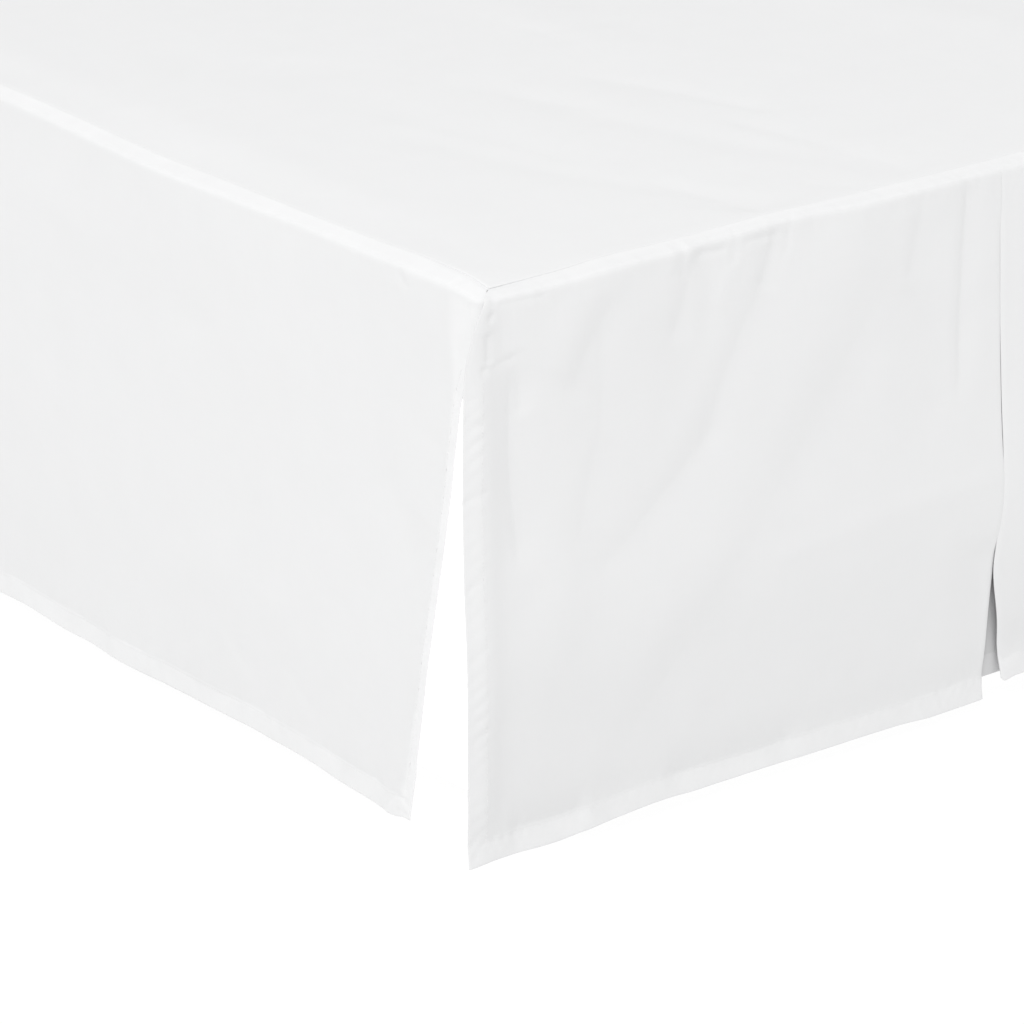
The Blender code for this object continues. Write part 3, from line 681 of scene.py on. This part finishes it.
# the folds below are those of the photo's two faces; the hidden panels hang much the same
makePanel({
    "name": "panelFootLeft", "node": "panel_foot_left", "seed": 11,
    **footPanel, "spacing": 0.003, "fine": 0.0016,
    "start": 0.0, "startEdge": footCornerEdge, "startHem": skirt["sideHem"],
    "end": footPleat + skirt["pleatLap"], "endEdge": pleatEdgeLeft, "endHem": 0,
    "sideTone": [(0, 3), (60, 4), (90, 14), (400, 15), (460, 18)], "sideLayersAndLight": 0.22,
    "folds": [
        (-20, 45, -24, 392, 2, 3.4, 14), (8, 62, 16, 100, 3, -1.2, 6, 2.0),
        (7, 90, 11.5, 206, -3, -2.6, 8.5, 2.5), (60, 58, 45, 284, 10, 1.3, 28),
        (99, 14, 58, 75, -6, 1.4, 20), (98, 42, 64, 94, -4, -1.1, 10, 2.0),
        (135, 55, 110, 208, 12, 1.5, 28), (84, 150, 68, 215, 0, -0.9, 8, 2.5),
        (184, 14, 163, 70, 0, -1.6, 9, 1.6), (228, 52, 148, 180, 4, 1.1, 18),
        (268, 13, 251, 52, 0, -1.8, 7.5, 2.0), (243, 66, 196, 158, -4, -1.2, 11, 1.6),
        (190, 168, 98, 240, 0, -1.1, 11, 1.8), (318, 69, 131, 321, 17, 2.2, 40),
        (351, 109, 127, 379, 5, -1.2, 17, 2.0), (372, 70, 375, 204, -4, 0.8, 19),
        (396, 32, 392, 84, 0, 0.8, 13), (410, 18, 398, 75, 0, -1.1, 8, 1.5),
        (415, 52, 432, 185, 0, -1.1, 25), (458, 14, 453, 165, -2, 0.9, 22),
        (457.5, 14, 452.5, 165, -2, -2.6, 6.5, 2.5), (283, 279, 475, 268, 3, 0.8, 11),
        (-32, 300, 512, 290, 10, 3.1, 60), (500, 437, -30, 437, 0, -1.8, 18),
        (66, 438, 10, 437, 0, -3, 13, 1.5), (270, 440, 170, 439, 2, -3, 13, 1.5),
        (482, 335, 484, 440, 0, -2.4, 25),
    ],
    "creases": [
        (225, 31, 209, 60, -2, 0.6, 7.5), (91.5, 66, 91.2, 134, 0, -0.6, 5, 2.5),
        (162, 6, 160, 24, 0, 0.7, 2.6), (172, 6, 171, 30, 0, -0.8, 2.6), (178, 6, 177, 20, 0, 0.5, 3),
        (189, 19, 211, 20.5, 0, -1, 3), (225, 6, 222, 30, 0, -0.8, 2.8), (238, 19, 264, 20.5, 0, -1, 3),
        (259, 6, 257, 24, 0, 0.7, 2.8), (282, 6, 276, 34, 0, -0.7, 3), (-6.6, 12, -7.2, 15, 0, -1, 3),
        (-10.4, 22.5, -11.2, 26, 0, -1.4, 3.4), (-14.8, 38, -15.6, 56, 0, -1.5, 3.6, 1.6),
        (-18, 61.5, -18.6, 64.5, 0, -1.4, 3.6), (-11, 64, 8.5, 60, 1, -0.5, 2.6),
        (2, 16.5, 36, 17.5, 0, -0.6, 2.6), (-36, 80, -30, 85, 0, -0.6, 2.6),
        (-34, 99, -22, 106, 0, -0.8, 2.4), (-37, 162, -20, 157, 0, -0.8, 2.4),
        (-36, 232, -24, 226, 0, -0.8, 2.4), (-36, 287, -23, 280, 0, -0.7, 2.4),
        (-35, 356, -24, 349, 0, -0.7, 2.4),
    ],
    "hemWave": [
        (-34, 0.3), (-14, 1.3), (46, -1.2), (66, -0.2), (106, 2.8), (146, 4.8), (186, 2.8), (246, 2.4),
        (306, 2), (386, 1.3), (426, -1.2),
    ],
})

makePanel({
    "name": "panelFootRight", "node": "panel_foot_right", "seed": 23,
    **footPanel, "spacing": 0.0045, "fine": 0.0018, "uneven": 0.00014,
    "start": footPleat - skirt["pleatLap"], "startEdge": pleatEdgeRight, "startHem": 0,
    "end": skirt["width"], "endEdge": farCornerEdge, "endHem": skirt["sideHem"],
    "folds": [
        (524, 30, 526, 340, 0, 2, 20), (560, 60, 600, 300, 10, 2.2, 26),
        (660, 40, 735, 260, 12, -1.7, 20), (700, 50, 800, 330, 12, 2.5, 28),
        (880, 45, 900, 250, 0, 2, 22), (480, 290, 1020, 300, -8, 3.1, 60),
        (480, 430, 1020, 435, 0, -2.8, 20), (1006, 45, 1004, 400, 0, 1.7, 14),
    ],
    "creases": [
        (620, 6, 616, 34, 0, -0.6, 4.2), (770, 6, 776, 40, 0, 0.6, 4.5), (860, 6, 858, 30, 0, -0.6, 4.2),
        (992, 12, 995, 27, 0, -1.8, 2.6), (999, 36, 1001, 55, 0, -2.2, 2.4),
    ],
    "hemWave": [
        (504.5, 12.5), (508, 9.3), (520, 11.2), (650, 7), (760, 5), (830, 1.2), (900, 2), (960, -1),
        (1030, 0.3),
    ],
})

makePanel({
    "name": "panelLeftFoot", "node": "panel_left_foot", "side": leftSide, "seed": 37,
    **footHalf, "spacing": 0.0045, "fine": 0.002,
    # painted highlight: a wide whiter band where the cloth turns round the foot corner into the light
    "sideTone": [(0, 40), (35, 36), (60, 24), (100, 10), (300, 8), (420, 12), (460, 16)],
    "sideLayersAndLight": 0.8, "dust": 0.2, "shoulderLayersAndHighlight": 0.42, "rimWhite": 0.05,
    "folds": [
        (30, 140, 95, 440, 0, 1.2, 34), (53, 149, 67, 198, 0, 0.7, 18), (80, 10, 590, 90, -8, 1, 47),
        (226, 199, 245, 360, 0, 0.6, 50), (410, 245, 602, 275, -10, 0.8, 40),
        (568, 110, 590, 221, 0, -1.1, 42), (345, 128, 400, 122, 0, -0.4, 12),
        (250, 340, 400, 338, 0, 0.6, 20), (110, 190, 75, 235, 0, -0.9, 20), (760, 80, 740, 360, 0, 2, 35),
        (58, 330, 900, 340, 0, 1.2, 60), (200, 440, 130, 438, 0, -1.4, 12, 1.5),
        (420, 440, 300, 439, 3, -1.5, 12, 1.5), (600, 440, 520, 440, 2, -1.4, 12, 1.5),
        (940, 437, 640, 437, 0, -1, 18),
    ],
    "creases": [
        (92, 17, 81, 26, 0, -1.1, 2.6), (104, 16, 99, 24, 0, -0.6, 2.6), (240, 390, 215, 412, 0, -0.6, 5),
        (330, 380, 300, 405, 2, -0.6, 6), (108, 446, 122, 462, 0, -0.7, 3),
    ],
    "hemWave": [
        (90, -0.8), (112, -4.6), (130, -2.7), (170, -1.7), (230, 2.8), (290, 3), (350, 1.3), (430, -0.2),
        (490, -2.4), (540, -0.2), (570, -0.7), (640, 2.2), (720, -1), (950, 0),
    ],
})

makePanel({
    "name": "panelLeftHead", "node": "panel_left_head", "side": leftSide, "seed": 41,
    **headHalf,
    "folds": [
        (1080, 60, 1110, 360, 10, 2, 40), (1320, 80, 1300, 340, 0, -1.4, 35),
        (1560, 60, 1600, 380, -10, 2.2, 45), (1000, 300, 1850, 310, 15, 2.8, 60),
        (960, 437, 1900, 437, 0, -2.8, 20),
    ],
    "creases": [(1200, 6, 1205, 38, 0, -0.6, 6), (1480, 6, 1476, 34, 0, 0.6, 6)],
    "hemWave": [(950, 1), (1100, -1), (1300, 2.2), (1500, -0.8), (1700, 1.8), (1900, 0)],
})

makePanel({
    "name": "panelRightFoot", "node": "panel_right_foot", "side": rightSide, "seed": 53,
    **footHalf, "spacing": 0.005, "fine": 0.0025,
    "folds": [
        (140, 60, 180, 340, 10, 2.2, 35), (340, 80, 310, 380, 0, -1.4, 35),
        (520, 50, 560, 330, -10, 2.2, 40), (780, 70, 760, 360, 0, 2, 35),
        (58, 310, 900, 300, 15, 2.8, 60), (60, 437, 960, 437, 0, -2.8, 20),
    ],
    "creases": [(260, 6, 264, 36, 0, -0.6, 6), (660, 6, 655, 34, 0, 0.6, 6)],
    "hemWave": [(80, 0), (200, 2.4), (360, -1.4), (520, 1.8), (700, -1.2), (950, 0.4)],
})

makePanel({
    "name": "panelRightHead", "node": "panel_right_head", "side": rightSide, "seed": 67,
    **headHalf,
    "folds": [
        (1100, 70, 1070, 360, 10, 2.2, 40), (1400, 60, 1430, 340, 0, -1.4, 35),
        (1650, 80, 1620, 380, -10, 2.2, 45), (1000, 310, 1850, 300, -15, 2.8, 60),
        (960, 437, 1900, 437, 0, -2.8, 20),
    ],
    "creases": [(1220, 6, 1216, 40, 0, -0.6, 6), (1560, 6, 1565, 32, 0, 0.6, 6)],
    "hemWave": [(950, -0.6), (1120, 1.6), (1320, -1.2), (1520, 2), (1720, -0.6), (1900, 0.4)],
})


# the underlays close each pleat from behind
underlay = {"setback": 0.003, "tuck": 0.0019, "half": 0.14, "shorter": 0.017, "spacing": 0.006,
            "cut": (0.28, 0.465), "uneven": 0.00008, "face": 0.00045, "hemRise": 0.0002,
            "stitchGroove": 0.0001}


def makeUnderlay(name, node, side, centre, seed):
    offset = skirt["shoulder"] - underlay["setback"]
    length = skirt["drop"] - underlay["shorter"] + offset * (math.pi / 2 - 1)
    rows = np.array(evenly(0, 0.0165, 0.0018)
                    + hemmedRows(0.0165, length, underlay["spacing"]))
    marks = edgeMarks(0)
    columns = np.array([centre - underlay["half"] + x for x in marks]
                       + evenly(centre - underlay["half"] + marks[-1],
                                centre + underlay["half"] - marks[-1], underlay["spacing"])[1:-1]
                       + [centre + underlay["half"] - x for x in marks][::-1])
    u, s = np.meshgrid(columns, rows)

    def place(u, s):
        relief = underlay["uneven"] * unevenness(u, s, seed, 0.04, 0.12)
        return hangingPoints(side, relief, 0, u, s, offset, 0.0, underlay["tuck"])

    bottomGap = length - s
    edgeGap = np.minimum(bottomGap, underlay["half"] - np.abs(u - centre))
    inHem = hemShare(bottomGap, skirt["hem"])
    thick = skirt["cloth"] + skirt["hemExtra"] * inHem
    rounded = thick * edgeRounding(edgeGap)
    face = underlay["face"] + underlay["hemRise"] * inHem
    dip = underlay["stitchGroove"] * stitchDip(bottomGap, skirt["hem"])
    # painted shade: the underlay too is painted darker towards the hem
    paintedShadeMask = smoothStep((s - usualPanel["paintedShadeFrom"]) / usualPanel["paintedShadeOver"])
    piece = clothMesh(name, place, u, s, side["out"], face - dip - rounded, face - thick + rounded,
                      inHem, paintedShadeMask)
    dress(piece, underlayShadeMaterial, node)
    print(name, "made")


makeUnderlay("pleatFootUnderlay", "pleat_foot", footSide, footPleat, 71)
makeUnderlay("pleatLeftUnderlay", "pleat_left", leftSide, sidePleat, 73)
makeUnderlay("pleatRightUnderlay", "pleat_right", rightSide, sidePleat, 79)


# the deck is the flat cloth under the mattress
deck = {
    "spacing": 0.0095, "fine": 0.0045, "border": 0.06, "uneven": 0.00012, "seed": 83,
    "seamPucker": 0.00009, "stitchGroove": 0.00012, "hemRise": 0.0005, "hemExtra": 0.0003,
    "creased": (0.18, 0.46, 0.54),          # the sharpest creases lie between these u, up to this s
    "cut": (0.984, 1.925),
    "crown": 0.0016, "crownWidth": 0.06,    # the deck swells a little along its two long seams
    "folds": [
        (520, 820, 470, 450, 20, 2.2, 42), (700, 640, 760, 260, 20, 2.5, 42),
        (300, 1400, 420, 1060, 0, 2.5, 48), (690, 1640, 600, 1200, 20, 2.5, 48),
    ],
    "creases": [
        (145, 660, 245, 520, 10, -1.4, 30), (195, 520, 210, 380, 0, -1.1, 24),
        (178, 320, 275, 45, 14, -1.4, 18), (312, 380, 405, 60, 14, -1.4, 20),
        (387, 373, 438, 232, 0, -0.8, 14), (406, 185, 415, 72, 0, -0.7, 12),
        (433, 506, 513, 494, 0, -0.7, 12), (240, 59, 272, 12, 0, -0.7, 10),
        (340, 42, 363, 12, 0, -0.6, 10), (336, 307, 309, 369, 0, -0.9, 7, 2.5),
        (434, 227, 395, 362, 4, -0.9, 7, 2.5), (424, 40, 403, 191, 3, -0.9, 7, 2.5),
        (265, 14, 252, 110, 0, -1, 7, 2.5), (435, 476, 437, 522, 0, -0.9, 7, 2.5),
        (232, 213, 207, 337, 3, -0.8, 9, 2.5),
    ],
}


def makeDeck():
    width = skirt["width"]
    length = skirt["length"]
    hem = skirt["hem"]
    border = [0, 0.0003, 0.0007, 0.0012, 0.0019, 0.003, 0.005, 0.008, 0.012]
    creased = deck["creased"]
    columns = np.array(border + evenly(border[-1], creased[0], deck["spacing"])[1:]
                       + evenly(creased[0], creased[1], deck["fine"])[1:]
                       + evenly(creased[1], width - border[-1], deck["spacing"])[1:-1]
                       + [width - x for x in border][::-1])
    rows = np.array(border + evenly(border[-1], creased[2], deck["fine"])[1:]
                    + hemmedRows(creased[2], length, deck["spacing"]))
    u, s = np.meshgrid(columns, rows)

    def place(u, s):
        aside = np.minimum(u, width - u)
        inside = np.minimum(np.minimum(aside, s), length - s)
        broad = foldRelief(deck["folds"], u, s) + deck["crown"] * smoothStep(aside / deck["crownWidth"])
        fine = foldRelief(deck["creases"], u, s) + deck["uneven"] * unevenness(u, s, deck["seed"], 0.05, 0.2)
        fine += deck["seamPucker"] * puckers(u, s - 0.004, deck["seed"] + 1, 0.016)
        fine += deck["seamPucker"] * puckers(s, u - 0.004, deck["seed"] + 2, 0.016)
        lift = smoothStep(inside / deck["border"]) * broad + smoothStep(inside / 0.02) * fine
        for side, along, gap in ((footSide, u, s), (leftSide, s, u), (rightSide, s, width - u)):
            lift = lift + alongRows(side["seamWave"], along) * np.exp(-(gap / skirt["seamReach"]) ** 2)
        return np.stack([u - width / 2, skirt["footSeam"] + s, skirt["deckTop"] + lift], -1)

    sideGap = np.minimum(u, width - u)
    seamInside = np.minimum(sideGap, s)
    headGap = length - s
    inHem = hemShare(headGap, hem)
    fromCorner = (sideGap + s) / skirt["cornerReach"]
    depth = skirt["deckDepth"] + 0.3 * skirt["cornerDepth"] * np.exp(-fromCorner ** 2)
    groove = depth * np.exp(-(seamInside / skirt["deckWidth"]) ** 2)
    thick = skirt["cloth"] + deck["hemExtra"] * inHem
    rounded = thick * edgeRounding(headGap)
    face = deck["hemRise"] * inHem
    dip = deck["stitchGroove"] * stitchDip(headGap, hem)
    seamBand = 0.1 * smoothStep((0.016 - seamInside) / 0.008)      # the seam's turned-in edge
    patchy = 0.5 + 0.3 * unevenness(u, s, deck["seed"] + 3, 0.06, 0.3)
    # painted light: the deck is painted whiter along its long seams, where it curves over towards the light
    sideWhiteAndPaintedLight = (0.14 + 0.12 * patchy) * smoothStep((0.08 - sideGap) / 0.06)
    piece = clothMesh("deckCloth", place, u, s, (0, 0, 1), face - dip - rounded - groove,
                      face - thick + rounded - groove,
                      np.maximum.reduce([0.6 * inHem, seamBand, sideWhiteAndPaintedLight]), np.zeros_like(u))
    across = np.arange(0.004, width - 0.004, skirt["stitchStep"])
    stitched = np.full_like(across, length - hem + skirt["stitchInset"])
    line, up = stitchLine(place, across, stitched, (0, 0, 1))
    stitches = stitchMesh("deckStitches", [(line - up * (skirt["face"] - 0.00015), up)])
    dress(piece, skirtMaterial, "deck")
    dress(stitches, stitchMaterial)
    print("deck made with", len(piece.data.polygons), "faces")


makeDeck()


# the bed base is an upholstered box
bedBase = {
    "side": 0.4995, "foot": -0.9525, "head": 0.96, "bottom": 0.05, "top": 0.4592,
    "corner": 0.032, "topRound": 0.022, "bottomRound": 0.008, "cornerSteps": 14, "crown": 0.0008,
    "sharp": 50,              # degrees
    "cornerPaintedLight": 0.75,       # painted light: the cover glows at the foot corners so it stays white inside the corner splits, where it lies in shade; each range below runs from dark to bright
    "paintedLightSide": (0.44, 0.47), "paintedLightFoot": (-0.8, -0.85), "paintedLightBelow": (0.39, 0.38),
}


def quarterTurn(steps):
    return [math.radians(90 * step / steps) for step in range(steps + 1)]


def makeBase():
    bottom = bedBase["bottom"]
    top = bedBase["top"]
    levels = []
    for angle in quarterTurn(8):
        levels.append((bedBase["bottomRound"] * (1 - math.sin(angle)),
                       bottom + bedBase["bottomRound"] * (1 - math.cos(angle))))
    low = bottom + bedBase["bottomRound"]
    high = top - bedBase["topRound"]
    for z in evenly(low + 0.001, high - 0.004, 0.008):
        levels.append((-bedBase["crown"] * math.sin(math.pi * (z - low) / (high - low)), z))
    for angle in quarterTurn(10):
        levels.append((bedBase["topRound"] * (1 - math.cos(angle)),
                       top - bedBase["topRound"] * (1 - math.sin(angle))))
    points = []
    rings = len(levels)
    for inset, z in levels:
        radius = bedBase["corner"] - inset
        x = bedBase["side"] - inset - radius
        front = bedBase["foot"] + inset + radius
        back = bedBase["head"] - inset - radius
        for centreX, centreY, first in ((x, back, 0), (-x, back, 90), (-x, front, 180), (x, front, 270)):
            for step in range(bedBase["cornerSteps"] + 1):
                angle = math.radians(first + 90 * step / bedBase["cornerSteps"])
                points.append((centreX + radius * math.cos(angle), centreY + radius * math.sin(angle), z))
    piece = newPiece("baseCover", points, ringFaces(rings, len(points) // rings))
    piece.data.shade_smooth()
    piece.data.set_sharp_from_angle(angle=math.radians(bedBase["sharp"]))
    dress(piece, coverMaterial(), "base")


def coverMaterial():
    material, shader, start = newMaterial("baseCoverCloth")
    place = start.add("TexCoord", {}, 3)
    coarse = place.noise(900.0, 2.0)
    cloudy = place.noise(14.0, 3.0)
    threads = start.add("TexVoronoi", {"Vector": place, "Scale": 1100.0}, feature="F1")
    shade = start.maths("MINIMUM", coarse * 0.4 + cloudy * 0.6, 1.0)
    joinTo(mixColours(start, shade, (0.93, 0.93, 0.925, 1), (0.98, 0.98, 0.975, 1)), shader, "Base Color")
    joinTo(cloudy * 0.1 + 0.82, shader, "Roughness")
    bump = start.bump(threads + coarse, 0.3, 0.0003)
    joinTo(bump, shader, "Normal")
    shader.inputs["Sheen Weight"].default_value = 0.05
    x = start.add("SeparateXYZ", {0: place})
    # painted light: the cover glows where it lies in shade inside the foot corners' splits, masked by its
    # place in x, y and z
    paintedLightMask = 1.0
    for value, (dark, bright) in ((start.maths("ABSOLUTE", x), bedBase["paintedLightSide"]),
                                  (x.sibling(1), bedBase["paintedLightFoot"]), (x.sibling(2), bedBase["paintedLightBelow"])):
        paintedLightMask = start.add("MapRange", {"Value": value, "From Min": dark, "From Max": bright}) * paintedLightMask
    paintedLightColour = mixColours(start, paintedLightMask, (0, 0, 0, 1), (1, 1, 1, 1))
    joinTo(paintedLightColour, shader, "Emission Color")
    shader.inputs["Emission Strength"].default_value = bedBase["cornerPaintedLight"]
    return material


makeBase()
print("bed base made")


# short turned wooden legs, eased at the foot
leg = {"height": 0.0497, "foot": 0.026, "top": 0.032, "ease": 0.002, "sides": 48,
       "x": 0.382, "footY": -0.835, "headY": 0.846}


def makeLeg(name, node, x, y):
    profile = [(0.0, 0.0), (leg["foot"] - leg["ease"], 0.0)]
    for angle in quarterTurn(5)[1:]:
        profile.append((leg["foot"] - leg["ease"] * (1 - math.sin(angle)),
                        leg["ease"] * (1 - math.cos(angle))))
    for share in (0.35, 0.7, 1.0):
        profile.append((leg["foot"] + (leg["top"] - leg["foot"]) * share,
                        leg["ease"] + (leg["height"] - leg["ease"]) * share))
    profile.append((0.0, leg["height"]))
    points = []
    for radius, z in profile:
        for side in range(leg["sides"]):
            angle = 2 * math.pi * side / leg["sides"]
            points.append((x + radius * math.cos(angle), y + radius * math.sin(angle), z))
    piece = newPiece(name, points, ringFaces(len(profile), leg["sides"], capped=False))
    piece.data.validate()
    piece.data.shade_smooth()
    piece.data.set_sharp_from_angle(angle=math.radians(bedBase["sharp"]))
    dress(piece, woodMaterial, node)


def stainedWood():
    material, shader, start = newMaterial("stainedWood")
    place = start.add("TexCoord", {}, 3)
    stretched = start.add("Mapping", {"Vector": place, "Scale": (1.0, 1.0, 0.12)})
    grain = stretched.noise(260.0, 5.0, {"Distortion": 0.6})
    pores = stretched.noise(1400.0, 2.0)
    shade = grain * 0.75 + pores * 0.25
    joinTo(mixColours(start, shade, (0.14, 0.075, 0.035, 1), (0.46, 0.3, 0.17, 1)), shader, "Base Color")
    joinTo(pores * 0.2 + 0.32, shader, "Roughness")
    joinTo(start.bump(pores, 0.3, 0.0002), shader, "Normal")
    return material


woodMaterial = stainedWood()
for end in ("Foot", "Head"):
    for hand, x in (("Left", -leg["x"]), ("Right", leg["x"])):
        makeLeg("leg" + end + hand, f"leg_{end}_{hand}".lower(), x, leg[end.lower() + "Y"])
print("legs made")


# floor, light and camera
studio = {
    "floorSize": 160.0, "floorGlow": 0.92, "floorTone": 0.1,
    "sky": 0.836, "backdrop": 1.0,
    "keyFrom": (-0.5, -0.35, 0.79), "keyDistance": 9.0, "keySize": 4.5, "keyPower": 279.0,
    "keyAim": (-0.4, -0.85, 0.3),
}


def makeFloor():
    half = studio["floorSize"] / 2
    floor = newPiece("floor", [(-half, -half, 0), (half, -half, 0), (half, half, 0), (-half, half, 0)],
                     [(0, 1, 2, 3)])
    material, shader, start = newMaterial("paleFloor")
    tone = studio["floorTone"]
    shader.inputs["Base Color"].default_value = (tone, tone, tone, 1)
    shader.inputs["Roughness"].default_value = 1.0
    shader.inputs["Specular IOR Level"].default_value = 0.0
    shader.inputs["Emission Color"].default_value = (1, 1, 1, 1)
    shader.inputs["Emission Strength"].default_value = studio["floorGlow"]
    floor.data.materials.append(material)


def makeSky():
    world = bpy.data.worlds.new("studioSky")
    world.use_nodes = True
    bpy.context.scene.world = world
    start = Wire(world.node_tree)
    background = world.node_tree.nodes["Background"]
    seen = start.add("LightPath")
    strength = seen * (studio["backdrop"] - studio["sky"]) + studio["sky"]
    background.inputs["Color"].default_value = (1, 1, 1, 1)
    world.node_tree.links.new(strength.socket, background.inputs["Strength"])


def makeKey():
    data = bpy.data.lights.new("keyLight", "AREA")
    data.shape = "DISK"
    data.size = studio["keySize"]
    data.energy = studio["keyPower"]
    lamp = bpy.data.objects.new("keyLight", data)
    bpy.context.scene.collection.objects.link(lamp)
    direction = Vector(studio["keyFrom"]).normalized()
    lamp.location = Vector(studio["keyAim"]) + direction * studio["keyDistance"]
    lamp.rotation_mode = "QUATERNION"
    lamp.rotation_quaternion = direction.to_track_quat("Z", "Y")
    lamp.visible_camera = False


view = {"place": (-2.6204, -3.7694, 1.6627), "heading": -37.246, "down": 21.263, "roll": -0.586,
        "lens": 179.56}


def makeCamera():
    data = bpy.data.cameras.new("photoCamera")
    data.sensor_width = 36.0
    data.lens = view["lens"]
    data.clip_start = 0.1
    data.clip_end = 300.0
    camera = bpy.data.objects.new("photoCamera", data)
    bpy.context.scene.collection.objects.link(camera)
    turn = (Matrix.Rotation(math.radians(view["heading"]), 4, "Z")
            @ Matrix.Rotation(math.radians(90 - view["down"]), 4, "X")
            @ Matrix.Rotation(math.radians(view["roll"]), 4, "Z"))
    camera.matrix_world = Matrix.Translation(Vector(view["place"])) @ turn
    bpy.context.scene.camera = camera


makeFloor()
makeSky()
makeKey()
makeCamera()
bpy.context.scene.view_settings.view_transform = "Standard"
bpy.context.scene.view_settings.look = "None"
print("studio made")
